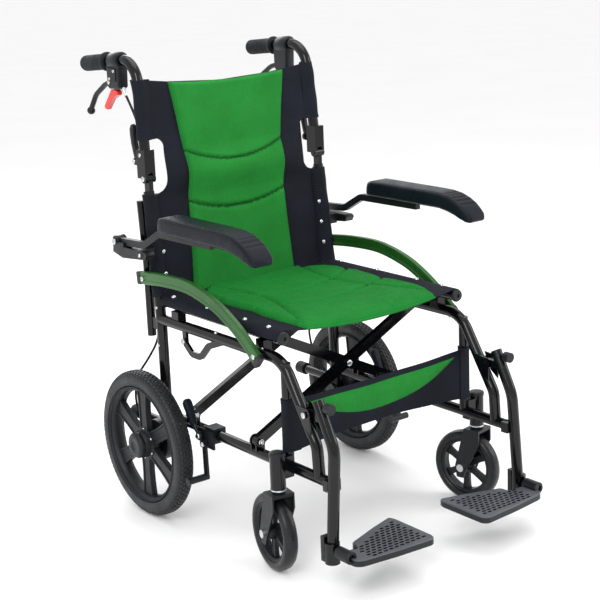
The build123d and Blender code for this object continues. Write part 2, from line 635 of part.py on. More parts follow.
def tip_cap():
    """Rubber cap on the tip lever."""
    cap = bar((FRAME_X, TIP_END - 14, TIP_Z), (FRAME_X, TIP_END + 12, TIP_Z), THIN_R + 4.0)
    return cap - bar((FRAME_X, TIP_END - 20, TIP_Z), (FRAME_X, TIP_END + 0.05, TIP_Z), THIN_R + 0.05)


# ---- soft pieces -------------------------------------------------------------------------------
def seat_sling():
    """Seat cloth between the seat rails."""
    half = SEAT_RAIL_X - TUBE_R - SOFT_GAP
    return block((-half, half), (SEAT_FRONT - 2, SEAT_REAR + 12), (SEAT_Z + 4, SEAT_Z + 14))


def back_panel(low, high):
    """Back cloth between two heights."""
    half = post_x(high) - TUBE_R - SOFT_GAP - 2.0
    outline = [(back_y(low), low), (back_y(high), high), (back_y(high) + 12, high), (back_y(low) + 12, low)]
    return side_plate(outline, -half, half)


def calf_strap():
    """Strap behind the calves between the inner posts."""
    half = FRAME_X - THIN_R - SOFT_GAP
    return block((-half, half), (INNER_POST_Y - 3, INNER_POST_Y + 3), (236, 334))


# ---- assembly ----------------------------------------------------------------------------------
def side_parts(side):
    """Every node of one side, modelled on the left."""
    return {
        "side_frame": side_frame(side),
        "back_post": back_post(),
        "push_grip": push_grip(),
        "brake_housing": brake_housing(),
        "hand_brake_lever": hand_brake_lever(),
        "brake_latch": brake_latch(),
        "back_release": back_release(),
        "brake_cable": brake_cable(),
        "rear_tyre": rear_tyre(),
        "rear_wheel": rear_wheel(),
        "hub_cap": hub_cap(),
        "brake_drum": brake_drum(),
        "caster_fork": caster_turn(caster_fork(), side),
        "caster_axle": caster_turn(caster_axle(), side),
        "caster_wheel": caster_turn(caster_wheel(), side),
        "caster_tyre": caster_turn(caster_tyre(), side),
        "side_guard": side_guard(),
        "arm_bracket": arm_bracket(),
        "arm_bar": arm_bar(),
        "arm_pad": arm_pad(),
        "hanger": hanger(),
        "hanger_knob": hanger_knob(),
        "footplate": footplate(),
        "parking_handle": parking_handle(),
        "parking_clamp": parking_clamp(),
        "shoe_bar": shoe_bar(),
        "tip_cap": tip_cap(),
    }


def shared_parts():
    """Nodes that reach from side to side."""
    return {
        "cross_member_left": cross_member("right"),
        "cross_member_right": cross_member("left"),
        "seat_sling": seat_sling(),
        "back_sling_lower": back_panel(SEAT_Z + 19, HINGE_Z - GAP),
        "back_sling_upper": back_panel(HINGE_Z + GAP, BACK_TOP),
        "calf_strap": calf_strap(),
    }


os.makedirs("parts", exist_ok=True)
rear_reach = HANDLE_END_Y + GRIP_R * math.sin(math.atan(HANDLE_DROP))
to_origin = Pos(0, -(rear_reach + FOOT_FRONT) / 2, 0)
finished = {name: to_origin * shape for name, shape in shared_parts().items()}
for side in ("left", "right"):
    for name, shape in side_parts(side).items():
        placed = to_origin * shape
        finished[f"{name}_{side}"] = placed if side == "left" else mirror(placed, about=Plane.YZ)
for name, shape in finished.items():
    export_step(shape, f"parts/{name}.step")
print("rear axle at y", round(-(rear_reach + FOOT_FRONT) / 2, 2), "nodes", len(finished))
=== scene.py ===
import math

import bmesh
import bpy
from mathutils import Matrix, Vector


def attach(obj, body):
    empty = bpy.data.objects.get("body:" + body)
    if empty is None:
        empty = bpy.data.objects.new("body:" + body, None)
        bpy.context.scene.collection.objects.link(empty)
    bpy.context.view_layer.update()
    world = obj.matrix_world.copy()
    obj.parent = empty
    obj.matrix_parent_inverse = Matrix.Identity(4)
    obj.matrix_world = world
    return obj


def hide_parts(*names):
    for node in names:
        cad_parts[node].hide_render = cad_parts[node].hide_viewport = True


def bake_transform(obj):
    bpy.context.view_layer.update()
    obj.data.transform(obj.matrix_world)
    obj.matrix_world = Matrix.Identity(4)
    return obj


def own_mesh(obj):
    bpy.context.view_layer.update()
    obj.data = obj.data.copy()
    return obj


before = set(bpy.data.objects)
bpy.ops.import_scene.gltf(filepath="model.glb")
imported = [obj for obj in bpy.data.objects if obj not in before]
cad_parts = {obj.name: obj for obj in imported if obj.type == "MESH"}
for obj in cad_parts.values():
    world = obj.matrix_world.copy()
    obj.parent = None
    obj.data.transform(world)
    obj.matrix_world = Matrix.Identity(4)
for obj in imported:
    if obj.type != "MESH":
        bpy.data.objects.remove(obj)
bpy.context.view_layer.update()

# Sizes are in millimetres, with Y = 0 at the rear axle and Z = 0 on the floor. +X is the occupant's left.
Y0 = 191.78
SIDES = (("right", -1), ("left", 1))
FRAME_X, SEAT_Z, HINGE_Z, HANDLE_TOP_Z = 223.0, 443.0, 690.0, 925.0
AXLE_Z, CASTER_R, HEAD_X, HEAD_Y = 152.5, 75.0, 254.0, -419.0
WHEEL_X, HANDLE_X, GUARD_X, PAD_X, ARM_X = 277.0, 211.95, 244.5, 262.5, 257.0
SEAT_RAIL_X = FRAME_X - 6.0
BEND_Z = 391.0  # where the back posts start to lean
CROSS_YS, CROSS_STEP, CROSS_PIVOT_Z = (-97, -316), 13, 333.25  # the left legs sit a step behind the right
CASTER_YAW = {"right": 10.0, "left": 12.0}


def place(p, k=1):
    """A point in millimetres to the frame's metres, mirrored for the right side."""
    return Vector((p[0] * k / 1000.0, (p[1] + Y0) / 1000.0, p[2] / 1000.0))


def post_y(z):
    """Rearward place of a back post's axis."""
    return max(0.0, z - BEND_Z) * 0.0988


def post_x(z):
    """Sideways place of the left back post's axis."""
    return FRAME_X - max(0.0, z - BEND_Z) * 0.0226


def back_y(z):
    """Rearward place of the back cloth before it sags."""
    return 4.0 + (z - 455.0) * 0.0738


# ---- camera and light ---------------------------------------------------------------------------
def camera():
    """The camera fitted to the photograph."""
    az, el, roll = math.radians(-37.287), math.radians(14.384), math.radians(-2.309)
    back = Vector((math.sin(az) * math.cos(el), -math.cos(az) * math.cos(el), math.sin(el)))
    right = Vector((math.cos(az), math.sin(az), 0.0))
    up = back.cross(right)
    r2 = right * math.cos(roll) + up * math.sin(roll)
    u2 = up * math.cos(roll) - right * math.sin(roll)
    data = bpy.data.cameras.new("camera")
    data.lens = 86.23
    data.sensor_width = 36.0
    obj = bpy.data.objects.new("camera", data)
    bpy.context.scene.collection.objects.link(obj)
    target = place((8.9, -162.0, 429.8))
    m = Matrix((r2, u2, back)).transposed().to_4x4()
    m.translation = target + back * 2.9274
    obj.matrix_world = m
    bpy.context.scene.camera = obj


def area_light(name, spot, aim, size, power):
    data = bpy.data.lights.new(name, "AREA")
    data.shape = "RECTANGLE"
    data.size, data.size_y = size
    data.energy = power
    obj = bpy.data.objects.new(name, data)
    bpy.context.scene.collection.objects.link(obj)
    obj.location = spot
    obj.rotation_euler = (Vector(aim) - Vector(spot)).to_track_quat("-Z", "Y").to_euler()


camera()
area_light("key", (-2.2, -1.6, 2.2), (0, 0, 0.45), (1.0, 1.8), 42.0)
area_light("fill", (2.4, -1.8, 1.7), (0, 0, 0.4), (1.0, 1.8), 26.0)
area_light("top", (0.2, 0.3, 3.0), (0, 0, 0.3), (2.2, 2.2), 34.0)
area_light("rear", (0.8, 2.6, 1.6), (0, 0, 0.5), (1.4, 1.4), 16.0)
world = bpy.data.worlds.new("studio")
bpy.context.scene.world = world
world.use_nodes = True
world.node_tree.nodes["Background"].inputs[0].default_value = (1.0, 1.0, 1.0, 1.0)
world.node_tree.nodes["Background"].inputs[1].default_value = 1.0
bpy.context.scene.view_settings.view_transform = "Standard"


# ---- materials ----------------------------------------------------------------------------------
class Nodes:
    """Short hand for building a material's node tree."""

    def __init__(self, name, rough, metallic=0.0, coat=0.0, sheen=0.0, spec=0.5):
        self.mat = bpy.data.materials.new(name)
        self.mat.use_nodes = True
        self.tree = self.mat.node_tree
        self.bsdf = self.tree.nodes["Principled BSDF"]
        for socket, value in (("Roughness", rough), ("Metallic", metallic), ("Coat Weight", coat),
                              ("Sheen Weight", sheen), ("Specular IOR Level", spec)):
            self.bsdf.inputs[socket].default_value = value
        self.bsdf.inputs["Coat Roughness"].default_value = 0.06
        self.coords = self.tree.nodes.new("ShaderNodeTexCoord").outputs["Object"]

    def node(self, kind, inputs=(), **settings):
        n = self.tree.nodes.new("ShaderNode" + kind)
        for key, value in settings.items():
            setattr(n, key, value)
        for key, value in dict(inputs).items():
            if isinstance(value, bpy.types.NodeSocket):
                self.tree.links.new(value, n.inputs[key])
            else:
                n.inputs[key].default_value = value
        return n

    def noise(self, scale, detail=3.0, coords=None):
        made = self.node("TexNoise", {"Vector": coords or self.coords, "Scale": scale, "Detail": detail})
        return made.outputs["Fac"]

    def stretched(self, factors):
        return self.node("Mapping", {"Vector": self.coords, "Scale": factors}).outputs[0]

    def ramp(self, value, low, high, out_low=0.0, out_high=1.0):
        made = self.node("MapRange", {"Value": value, "From Min": low, "From Max": high,
                                      "To Min": out_low, "To Max": out_high})
        return made.outputs[0]

    def mix(self, factor, a, b):
        made = self.node("Mix", data_type="RGBA")
        for socket, value in ((made.inputs[0], factor), (made.inputs[6], a), (made.inputs[7], b)):
            if isinstance(value, bpy.types.NodeSocket):
                self.tree.links.new(value, socket)
            elif isinstance(value, float):
                socket.default_value = value
            else:
                socket.default_value = (*value, 1.0)
        return made.outputs[2]

    def math(self, operation, a, b=0.0):
        return self.node("Math", {0: a, 1: b}, operation=operation).outputs[0]

    def colour(self, socket):
        self.tree.links.new(socket, self.bsdf.inputs["Base Color"])

    def rough(self, socket):
        self.tree.links.new(socket, self.bsdf.inputs["Roughness"])

    def bump(self, height, distance, strength=1.0):
        made = self.node("Bump", {"Height": height, "Distance": distance, "Strength": strength})
        self.tree.links.new(made.outputs[0], self.bsdf.inputs["Normal"])


def plain(name, base, other, rough, grain, depth, mottled=9.0, scuff=0.0, **settings):
    """Moulded, painted or rubber surface: mottling, fine grain, uneven gloss and light scuffs."""
    n = Nodes(name, rough, **settings)
    tone = n.mix(n.ramp(n.noise(mottled), 0.35, 0.7), base, other)
    if scuff:
        marks = n.ramp(n.noise(60.0, 6.0, n.stretched((0.25, 1.0, 1.6))), 0.66, 0.74, 0.0, scuff)
        tone = n.mix(marks, tone, tuple(min(1.0, c * 3.0 + 0.12) for c in base))
    n.colour(tone)
    n.rough(n.ramp(n.noise(38.0), 0.3, 0.7, rough * 0.8, min(1.0, rough * 1.25)))
    n.bump(n.noise(grain, 4.0), depth)
    return n.mat


def spacer_mesh(name, bright, deep, flat):
    """Knitted spacer mesh: rows of small holes between raised loops, with painted shade in the holes."""
    n = Nodes(name, 0.85, spec=0.1)
    split = n.node("SeparateXYZ", {0: n.coords}).outputs
    second = split[1] if flat else split[2]
    joined = n.node("CombineXYZ", {0: split[0], 1: second}).outputs[0]
    turned = n.node("Mapping", {"Vector": joined, "Rotation": (0.0, 0.0, math.radians(45))}).outputs[0]
    cell = n.node("TexVoronoi", {"Vector": turned, "Scale": 330.0, "Randomness": 0.0},
                  voronoi_dimensions="2D").outputs["Distance"]
    loops = n.ramp(cell, 0.12, 0.42)
    tone = n.mix(n.ramp(n.noise(14.0), 0.3, 0.75), bright, tuple(c * 0.8 for c in bright))
    # the holes take the deep colour: painted shade in the holes
    n.colour(n.mix(loops, deep, tone))
    n.rough(n.ramp(n.noise(70.0), 0.3, 0.7, 0.62, 0.9))
    height = n.math("ADD", loops, n.math("MULTIPLY", n.noise(900.0), 0.4))
    n.bump(height, 0.0006, 0.8)
    return n.mat


def woven(name, base, other, pitch=1100.0):
    """Plain-woven nylon with faint creases; the colour is painted lighter on the threads and crease ridges
    and darker in the hollows, as shade.
    """
    n = Nodes(name, 0.85, spec=0.12)
    split = n.node("SeparateXYZ", {0: n.coords}).outputs
    warp = n.math("SINE", n.math("MULTIPLY", n.math("ADD", split[0], split[1]), pitch))
    weft = n.math("SINE", n.math("MULTIPLY", split[2], pitch))
    thread = n.math("MULTIPLY", warp, weft)
    creases = n.noise(16.0, 5.0)
    # colour follows the same thread and crease relief as the bump: painted shade in the hollows, lighter on
    # the ridges
    n.colour(n.mix(n.ramp(n.math("ADD", n.math("MULTIPLY", thread, 0.15), creases), 0.3, 0.75), base, other))
    n.rough(n.ramp(creases, 0.3, 0.7, 0.6, 0.85))
    n.bump(n.math("ADD", n.math("MULTIPLY", thread, 0.12), creases), 0.003, 0.5)
    return n.mat


def brushed(name, base, rough):
    """Bright plated steel with fine turning marks."""
    n = Nodes(name, rough, metallic=1.0)
    n.colour(n.mix(n.ramp(n.noise(50.0), 0.3, 0.7), base, tuple(c * 0.82 for c in base)))
    n.rough(n.ramp(n.noise(200.0), 0.3, 0.7, rough * 0.7, rough * 1.4))
    n.bump(n.noise(1500.0), 0.0001)
    return n.mat


M = {
    "paint": plain("black_paint", (0.0015, 0.0016, 0.002), (0.003, 0.0032, 0.004), 0.14, 260.0, 0.00012,
                   coat=0.15, spec=0.25),
    "satin": plain("satin_black", (0.004, 0.0045, 0.006), (0.008, 0.009, 0.012), 0.36, 900.0, 0.0003,
                   scuff=0.06, spec=0.3),
    "moulded": plain("moulded_black", (0.005, 0.0055, 0.007), (0.01, 0.011, 0.014), 0.34, 1200.0, 0.0004,
                     scuff=0.06, spec=0.3),
    "pad": plain("pad_grey", (0.004, 0.006, 0.01), (0.007, 0.01, 0.016), 0.32, 1300.0, 0.0005,
                 scuff=0.02, spec=0.12),
    "rubber": plain("grip_rubber", (0.006, 0.0065, 0.008), (0.011, 0.012, 0.014), 0.6, 1500.0, 0.0005,
                    spec=0.3),
    "tyre": plain("tyre_rubber", (0.007, 0.0075, 0.009), (0.014, 0.015, 0.018), 0.45, 700.0, 0.0006,
                  scuff=0.15, spec=0.4),
    "caster": plain("caster_rubber", (0.004, 0.0045, 0.0055), (0.009, 0.0095, 0.012), 0.3, 500.0, 0.0004,
                    scuff=0.06, spec=0.35),
    "plate": plain("plate_grey", (0.05, 0.054, 0.066), (0.075, 0.08, 0.095), 0.46, 1000.0, 0.0004, scuff=0.2),
    # dark fill for the footplate slots: painted shade where the slots would show through
    "slot": plain("slot_painted_shade", (0.004, 0.004, 0.005), (0.008, 0.008, 0.009), 0.7, 900.0, 0.0003),
    "red": plain("latch_red", (0.62, 0.012, 0.012), (0.75, 0.03, 0.02), 0.3, 700.0, 0.0002, coat=0.4),
    "guard": plain("guard_green", (0.014, 0.085, 0.012), (0.025, 0.12, 0.02), 0.3, 500.0, 0.0002,
                   metallic=0.25, coat=0.2, spec=0.3),
    "steel": brushed("bolt_steel", (0.72, 0.73, 0.75), 0.22),
    # the second colour of each spacer mesh is painted shade for its holes
    "green_back": spacer_mesh("mesh_back", (0.02, 0.25, 0.036), (0.003, 0.075, 0.009), False),
    "green_seat": spacer_mesh("mesh_seat", (0.012, 0.215, 0.03), (0.003, 0.085, 0.01), True),
    "seam": woven("seam_green", (0.005, 0.07, 0.01), (0.008, 0.1, 0.014)),
    "nylon": woven("black_nylon", (0.005, 0.006, 0.01), (0.012, 0.014, 0.022)),
}


# ---- mesh building ------------------------------------------------------------------------------
def around(side, other, n):
    """Unit vectors round a circle that side and other span."""
    return [side * math.cos(a) + other * math.sin(a) for a in (2 * math.pi * i / n for i in range(n))]


class Piece:
    """Collects parts of one mesh in millimetres."""

    def __init__(self):
        self.verts, self.faces, self.slots, self.mats = [], [], [], []

    def add(self, verts, faces, mat):
        if mat not in self.mats:
            self.mats.append(mat)
        base = len(self.verts)
        self.verts += [Vector(v) for v in verts]
        self.faces += [[base + i for i in f] for f in faces]
        self.slots += [self.mats.index(mat)] * len(faces)
        return self

    def loft(self, rings, mat, closed=True, caps=True, loop=False):
        """Skin over rings of equal length. closed joins each ring's ends, loop joins last to first."""
        n = len(rings[0])
        verts = [v for ring in rings for v in ring]
        faces = []
        for i in range(len(rings) if loop else len(rings) - 1):
            j = (i + 1) % len(rings)
            for a in range(n if closed else n - 1):
                b = (a + 1) % n
                faces.append([i * n + a, j * n + a, j * n + b, i * n + b])
        if closed and caps and not loop:
            faces.append(list(range(n)))
            faces.append([(len(rings) - 1) * n + a for a in reversed(range(n))])
        return self.add(verts, faces, mat)

    def lathe(self, profile, origin, axis, mat, n=32, loop=False):
        """Revolves (distance along axis, radius) pairs about an axis."""
        axis = Vector(axis).normalized()
        side = axis.orthogonal().normalized()
        spread = around(side, axis.cross(side), n)
        rings = [[Vector(origin) + axis * t + d * r for d in spread] for t, r in profile]
        return self.loft(rings, mat, loop=loop, caps=not loop)

    def pipe(self, points, radius, mat, n=12, rounds=True):
        """Round rod through points; radius is a number or one per point."""
        pts = [Vector(p) for p in points]
        radii = radius if isinstance(radius, (list, tuple)) else [radius] * len(pts)
        rings = []
        side = None
        for i, p in enumerate(pts):
            run = (pts[min(i + 1, len(pts) - 1)] - pts[max(i - 1, 0)]).normalized()
            side = run.orthogonal() if side is None else side - run * side.dot(run)
            side = side.normalized()
            ring = around(side, run.cross(side), n)
            if rounds and i == 0:
                for back, share in ((0.9, 0.45), (0.55, 0.84)):
                    rings.append([p - run * radii[i] * back * 0.5 + d * radii[i] * share for d in ring])
            rings.append([p + d * radii[i] for d in ring])
            if rounds and i == len(pts) - 1:
                for ahead, share in ((0.55, 0.84), (0.9, 0.45)):
                    rings.append([p + run * radii[i] * ahead * 0.5 + d * radii[i] * share for d in ring])
        return self.loft(rings, mat)

    def slab(self, outline, low, high, axis, mat, edge=1.2):
        """Plate with eased edges from a closed outline; axis is the way it is thick."""
        pts = [Vector((a, b)) for a, b in outline]
        area = sum(p.x * q.y - q.x * p.y for p, q in zip(pts, pts[1:] + pts[:1]))
        if area < 0:
            pts.reverse()
        inner = []
        for i, p in enumerate(pts):
            d1, d2 = (p - pts[i - 1]).normalized(), (pts[(i + 1) % len(pts)] - p).normalized()
            normal = Vector((-(d1.y + d2.y), d1.x + d2.x))
            normal = normal.normalized() if normal.length > 1e-6 else Vector((-d1.y, d1.x))
            inner.append(p + normal * edge)

        def ring(path, t):
            if axis == "x":
                return [(t, p.x, p.y) for p in path]
            if axis == "y":
                return [(p.x, t, p.y) for p in path]
            return [(p.x, p.y, t) for p in path]

        rings = [ring(inner, low), ring(pts, low + edge), ring(pts, high - edge), ring(inner, high)]
        return self.loft(rings, mat)

    def bolt(self, spot, axis, radius, mat="steel", height=3.0):
        """Domed bolt head with a socket."""
        r, h = radius, height
        profile = [(-1.0, r), (h * 0.45, r), (h * 0.85, r * 0.8), (h, r * 0.5), (h * 0.45, r * 0.42),
                   (h * 0.4, 0.05)]
        return self.lathe(profile, spot, axis, mat, 14)

    def make(self, name, body, k=1, replaces=(), slot="frame_paint", angle=38.0, turn=None):
        """Turns what was collected into an object that rides on a body."""
        mesh = bpy.data.meshes.new(name)
        verts = [turn @ v for v in self.verts] if turn else self.verts
        mesh.from_pydata([place(v, k) for v in verts], [], self.faces)
        for key in self.mats:
            mesh.materials.append(M[key])
        for face, index in zip(mesh.polygons, self.slots):
            face.material_index = index
        bm = bmesh.new()
        bm.from_mesh(mesh)
        bmesh.ops.remove_doubles(bm, verts=bm.verts, dist=1e-6)
        bmesh.ops.recalc_face_normals(bm, faces=bm.faces)
        bm.to_mesh(mesh)
        bm.free()
        mesh.shade_smooth()
        mesh.set_sharp_from_angle(angle=math.radians(angle))
        obj = bpy.data.objects.new(name, mesh)
        bpy.context.scene.collection.objects.link(obj)
        if body:
            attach(obj, body)
        if replaces:
            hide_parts(*replaces)
        return obj


def curve_points(points, steps=6):
    """Smooth line through points (Catmull-Rom)."""
    pts = [Vector(p) for p in points]
    out = []
    for i in range(len(pts) - 1):
        p0, p1, p2, p3 = pts[max(i - 1, 0)], pts[i], pts[i + 1], pts[min(i + 2, len(pts) - 1)]
        for s in range(steps):
            t = s / steps
            out.append(0.5 * ((2 * p1) + (p2 - p0) * t + (2 * p0 - 5 * p1 + 4 * p2 - p3) * t * t
                              + (3 * p1 - p0 - 3 * p2 + p3) * t * t * t))
    out.append(pts[-1])
    return out


def rounded_rect(w, h, r, n=4):
    """Outline of a rounded rectangle about the origin."""
    out = []
    for cx, cy, start in ((w - r, h - r, 0), (r - w, h - r, 90), (r - w, r - h, 180), (w - r, r - h, 270)):
        for i in range(n + 1):
            a = math.radians(start + 90 * i / n)
            out.append((cx + r * math.cos(a), cy + r * math.sin(a)))
    return out


def name(base, side):
    return f"{base}_{side}"


def table(rows, t):
    """Straight-line look-up in rows of (position, value)."""
    if t <= rows[0][0]:
        return rows[0][1]
    for (a, va), (b, vb) in zip(rows, rows[1:]):
        if t <= b:
            return va + (vb - va) * (t - a) / (b - a)
    return rows[-1][1]


def crown(share):
    """Round rise of a pad, from 0 at its edge to 1 where share is 1."""
    return math.sqrt(max(0.0, 1 - (1 - share) ** 2))


# ---- wheels -------------------------------------------------------------------------------------
X_AXIS = (1, 0, 0)


def tread(piece, x, y, z, radius, columns, count, length, width, mat):
    """Raised tread blocks round a tyre; columns are (sideways offset, drop, stagger, tilt)."""
    for offset, drop, stagger, tilt in columns:
        for i in range(count):
            a = 2 * math.pi * (i + stagger) / count
            out = Vector((0, math.cos(a), math.sin(a)))
            along = Vector((0, -math.sin(a), math.cos(a)))
            across = (Vector(X_AXIS) * math.cos(tilt) - out * math.sin(tilt)).normalized()
            lift = (out * math.cos(tilt) + Vector(X_AXIS) * math.sin(tilt)).normalized()
            base = Vector((x + offset, y, z)) + out * (radius - drop)
            verts = []
            for h, share in ((-2.0, 1.0), (0.0, 0.8)):
                for s, t in ((-1, -1), (1, -1), (1, 1), (-1, 1)):
                    verts.append(base + lift * h + across * (s * width / 2 * share)
                                 + along * (t * length / 2 * share))
            piece.add(verts, [[4, 5, 6, 7], [0, 1, 5, 4], [1, 2, 6, 5], [2, 3, 7, 6], [3, 0, 4, 7]], mat)


def spokes(piece, x, y, z, count, inner, outer, wide, deep, rib, mat):
    """Wide moulded spokes with a raised rib along each edge."""
    for i in range(count):
        turn = Matrix.Rotation(2 * math.pi * i / count, 3, "X")

        def bar(centre, half_w, half_d, grow):
            rings = []
            for s in range(7):
                r = inner + (outer - inner) * s / 6
                flare = 1.0 + grow * abs(s / 6 - 0.42) ** 2 * 3.0
                ring = rounded_rect(half_d, half_w * flare, min(half_d, half_w) * 0.45, 3)
                rings.append([Vector((x, y, z)) + turn @ Vector((centre[0] + u, centre[1] * flare + v, r))
                              for u, v in ring])
            piece.loft(rings, mat)

        bar((0, 0), wide, deep, 0.35)
        for face in (-1, 1):
            for edge in (-1, 1):
                bar((face * deep, edge * (wide - rib)), rib, rib * 0.8, 0.35)


def rear_wheel(side, k):
    body = name("rear_wheel", side)
    centre = (WHEEL_X, 0, AXLE_Z)
    tyre = Piece()
    half = [(13.0, 121.6), (16.6, 123.4), (18.2, 128), (18.4, 136), (17.6, 141.5), (15.2, 146),
            (11.5, 148.9), (6, 150.4)]
    profile = [(-a, r) for a, r in half] + [(0, 150.9)] + [(a, r) for a, r in reversed(half)]
    tyre.lathe(profile, centre, X_AXIS, "tyre", 96, loop=True)
    for a in (18.3, -18.3):
        tyre.lathe([(a, 125.0), (a * 1.03, 126.2), (a, 127.4)], centre, X_AXIS, "tyre", 72, loop=True)
    tread(tyre, *centre, 152.3, [(0, 0.2, 0, 0), (6.6, 0.5, 0.5, 0.14), (-6.6, 0.5, 0.5, -0.14),
                                 (12.6, 2.9, 0, 0.5), (-12.6, 2.9, 0, -0.5), (16.6, 7.2, 0.5, 1.0),
                                 (-16.6, 7.2, 0.5, -1.0)], 88, 8.0, 5.4, "tyre")
    tyre.make(name("rear_tyre_tread", side), body, k, [name("rear_tyre", side)], "tyre_rubber", 30)
    wheel = Piece()
    wheel.lathe([(-15.5, 121.6), (-16, 118), (-13.5, 114.5), (-6, 110.5), (6, 110.5), (13.5, 114.5),
                 (16, 118), (15.5, 121.6), (9, 119.5), (-9, 119.5)], centre, X_AXIS, "moulded", 72, loop=True)
    for a in (16.2, -16.2):
        wheel.lathe([(a * 0.98, 116.5), (a * 1.06, 118), (a * 1.06, 120.6), (a * 0.98, 121.8)],
                    centre, X_AXIS, "pad", 72, loop=True)
    spokes(wheel, *centre, 6, 22.0, 113.0, 13.5, 5.0, 2.0, "moulded")
    wheel.lathe([(-19, 7), (-19, 25.5), (-15, 27.5), (-8, 29), (-6, 34), (6, 34), (8, 29), (15, 27.5),
                 (19, 25.5), (19, 7)], centre, X_AXIS, "moulded", 40, loop=True)
    ring = 31.0
    for i in range(6):
        a = math.pi * (i + 0.5) / 3
        wheel.bolt((WHEEL_X + 5.5, ring * math.cos(a), AXLE_Z + ring * math.sin(a)), X_AXIS, 2.6)
    wheel.make(name("rear_wheel_moulding", side), body, k, [name("rear_wheel", side)], "black_plastic")
    cap = Piece().lathe([(19, 20), (19, 26.4), (20.5, 27), (26.5, 26.6), (29.6, 24.6), (31.2, 21), (31.4, 10),
                         (30.2, 8.5), (30.2, 0.1)], centre, X_AXIS, "moulded", 40)
    cap.make(name("hub_cap_dome", side), body, k, [name("hub_cap", side)], "black_plastic", 50)


def caster(side, k):
    head = Matrix.Translation((HEAD_X, HEAD_Y, 0))
    turn = head @ Matrix.Rotation(math.radians(CASTER_YAW[side]), 4, "Z") @ head.inverted()
    centre = (HEAD_X, HEAD_Y + 24.0, CASTER_R)
    body = name("caster_wheel", side)
    tyre = Piece()
    half = [(10, 57.1), (12.6, 58.6), (13.9, 63), (13.7, 67.5), (11.8, 71.3), (8, 73.8), (4, 74.8)]
    profile = [(-a, r) for a, r in half] + [(0, CASTER_R)] + [(a, r) for a, r in reversed(half)]
    tyre.lathe(profile, centre, X_AXIS, "caster", 80, loop=True)
    tyre.make(name("caster_tyre_round", side), body, k, [name("caster_tyre", side)], "tyre_rubber", 50, turn)
    wheel = Piece()
    wheel.lathe([(-10.5, 57.2), (-10.8, 54.5), (-8, 51), (8, 51), (10.8, 54.5), (10.5, 57.2)],
                centre, X_AXIS, "moulded", 60, loop=True)
    spokes(wheel, *centre, 6, 10.0, 53.0, 6.2, 3.6, 1.1, "moulded")
    wheel.lathe([(-18, 4.6), (-18, 10.5), (-16.5, 12), (-6, 14.5), (6, 14.5), (16.5, 12), (18, 10.5),
                 (18, 4.6)], centre, X_AXIS, "moulded", 32, loop=True)
    wheel.make(name("caster_wheel_moulding", side), body, k, [name("caster_wheel", side)],
               "black_plastic", 38, turn)
    trim = Piece()
    trim.lathe([(165.5, 6.2), (165.5, 15.2), (168.0, 15.2), (168.0, 6.2)], (HEAD_X, HEAD_Y, 0), (0, 0, 1),
               "steel", 32, loop=True)
    trim.make(name("caster_spacer", side), name("caster_fork", side), k, slot="steel")
    cap = Piece().lathe([(231.0, 14.6), (231.0, 15.6), (236.5, 15.6), (238.5, 13.5), (239.0, 9.0),
                         (239.0, 0.1)], (HEAD_X, HEAD_Y, 0), (0, 0, 1), "moulded", 32)
    cap.make(name("caster_head_cap", side), name("side", side), k, slot="black_plastic")


# ---- armrest, guard, handle ---------------------------------------------------------------------
def arm_pad(side, k):
    """Moulded armrest pad with finger grooves over its turned-down tip."""
    top = [(-420, 598.5), (-414, 604.5), (-405, 612), (-392, 621), (-375, 629.5), (-355, 636), (-330, 639.4),
           (-300, 640), (-125, 640), (-112, 637), (-106, 628)]
    low = [(-420, 590), (-414, 586.6), (-405, 586.6), (-392, 591), (-375, 597), (-355, 602), (-330, 606.2),
           (-106, 606.5)]
    half = [(-420, 17), (-414, 22.5), (-405, 25), (-392, 26.3), (-125, 26.3), (-112, 25), (-106, 22)]
    grooves = [-344, -356, -368, -380, -392]
    rings = []
    stations = [-420, -417, -414, -410] + [-405 + 1.5 * i for i in range(47)]
    stations += [-330, -300, -260, -200, -150, -125, -118, -112, -108, -106]
    for y in stations:
        t, b, w = table(top, y), table(low, y), table(half, y)
        mid, h = (t + b) / 2, (t - b) / 2
        dip = sum(5.0 * math.exp(-((y - g) / 2.6) ** 2) for g in grooves)
        ring = []
        for u, v in rounded_rect(w, h, min(h * 0.7, 8.5), 5):
            fade = max(0.0, 1.0 - (abs(u) / 20.0) ** 4)
            ring.append((PAD_X + u, y, mid + v - (dip * fade if v > h * 0.5 else 0.0)))
        rings.append(ring)
    pad = Piece().loft(rings, "pad")
    for y in (-140, -225):
        pad.bolt((ARM_X, y, 606.8), (0, 0, -1), 5.5)
    pad.make(name("arm_pad_moulded", side), name("arm", side), k, [name("arm_pad", side)],
             "black_plastic", 50)
    heads = Piece()
    heads.bolt((ARM_X + 13.5, 86, 561), X_AXIS, 6.5)
    heads.bolt((ARM_X + 13.5, -10, 546), X_AXIS, 4.0)
    heads.make(name("arm_bolts", side), name("side", side), k, slot="steel")


def sweep_guard(piece, path, outline, mat):
    """Carries an outline along a path that stays in one upright plane."""
    rings = []
    for i, p in enumerate(path):
        run = (path[min(i + 1, len(path) - 1)] - path[max(i - 1, 0)]).normalized()
        up = Vector((0, -run.z, run.y))
        up = -up if up.z < 0 else up
        rings.append([p + Vector(X_AXIS) * a + up * b for a, b in outline])
    piece.loft(rings, mat)


